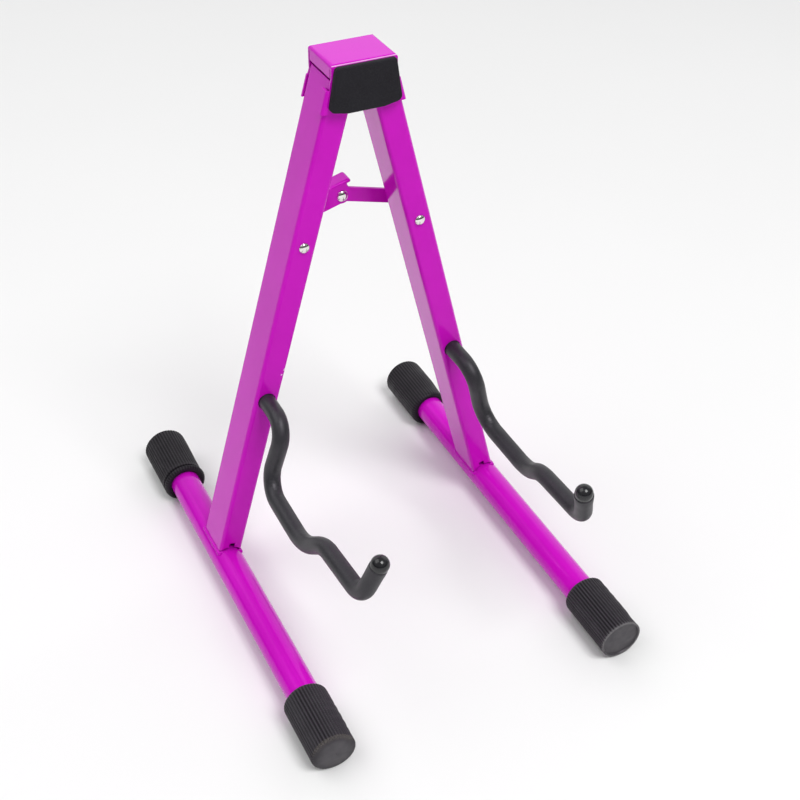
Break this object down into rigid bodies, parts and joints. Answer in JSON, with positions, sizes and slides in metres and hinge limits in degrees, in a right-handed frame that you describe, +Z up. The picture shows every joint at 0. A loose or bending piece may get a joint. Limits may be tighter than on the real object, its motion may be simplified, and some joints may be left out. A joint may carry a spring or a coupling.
{
  "type": "guitar stand",
  "caption": "Folding A-frame guitar stand in glossy magenta with foam-covered cradle arms, a padded head and round tube feet in ribbed rubber caps.",
  "frame": {"origin": "on the floor, below the middle of the stand: half way between the two foot tubes and half way along them, at the lowest point of the rubber caps", "axes": "+Z up from the floor to the head, -Y to the front where the arms reach out, +X to the right as seen from the front; left_ and right_ in the names are as seen from the front"},
  "size_m": [0.2248, 0.3, 0.3476],
  "materials": {
    "purple_paint": "glossy magenta-purple powder coat",
    "foam_pad": "matte closed-cell foam sheet with a faint grain",
    "foam_sleeve": "smooth matte foam rubber sleeve",
    "tip_plastic": "soft black dipped tip with a slight gloss",
    "cap_rubber": "matte black rubber with fine lengthwise ribs",
    "zinc_steel": "bright zinc plate",
    "rivet_plate": "bright nickel plate"
  },
  "bodies": {
    "head": {"head_bracket": "purple_paint", "head_pad": "foam_pad", "left_head_rivet": "rivet_plate", "right_head_rivet": "rivet_plate"},
    "left_leg": {"left_leg": "purple_paint", "left_foot_tube": "purple_paint", "left_front_foot_cap": "cap_rubber", "left_rear_foot_cap": "cap_rubber", "left_arm_rod": "zinc_steel", "left_arm_sleeve": "foam_sleeve", "left_arm_tip": "tip_plastic", "left_arm_washer": "zinc_steel", "left_arm_nut": "zinc_steel", "left_leg_rivet": "rivet_plate", "left_link_washer": "zinc_steel"},
    "right_leg": {"right_leg": "purple_paint", "right_foot_tube": "purple_paint", "right_front_foot_cap": "cap_rubber", "right_rear_foot_cap": "cap_rubber", "right_arm_rod": "zinc_steel", "right_arm_sleeve": "foam_sleeve", "right_arm_tip": "tip_plastic", "right_arm_washer": "zinc_steel", "right_arm_nut": "zinc_steel", "right_leg_rivet": "rivet_plate", "right_link_spacer": "zinc_steel"},
    "left_link": {"left_link": "purple_paint", "centre_rivet": "rivet_plate"},
    "right_link": {"right_link": "purple_paint", "right_leg_rivet_tail": "rivet_plate"}
  },
  "joints": [
    {"name": "left_leg_hinge", "type": "hinge", "parent": "head", "child": "left_leg", "pos_m": [-0.01301, 0.0348, 0.3305], "axis": [0, -1, 0], "range_deg": [0, 14.6]},
    {"name": "right_leg_hinge", "type": "hinge", "parent": "head", "child": "right_leg", "pos_m": [0.01301, 0.0348, 0.3305], "axis": [0, 1, 0], "range_deg": [0, 14.7]},
    {"name": "left_link_hinge", "type": "hinge", "parent": "left_leg", "child": "left_link", "pos_m": [-0.03718, 0.0505, 0.24028], "axis": [0, -1, 0], "range_deg": [0, 39.3]},
    {"name": "right_link_hinge", "type": "hinge", "parent": "left_link", "child": "right_link", "pos_m": [0, 0.0528, 0.2506], "axis": [0, 1, 0], "range_deg": [0, 107.7]}
  ],
  "couplings": [
    {"joint": "right_leg_hinge", "follows": "left_leg_hinge", "ratio": 1},
    {"joint": "left_link_hinge", "follows": "left_leg_hinge", "ratio": 2.684},
    {"joint": "right_link_hinge", "follows": "left_leg_hinge", "ratio": 7.367}
  ]
}
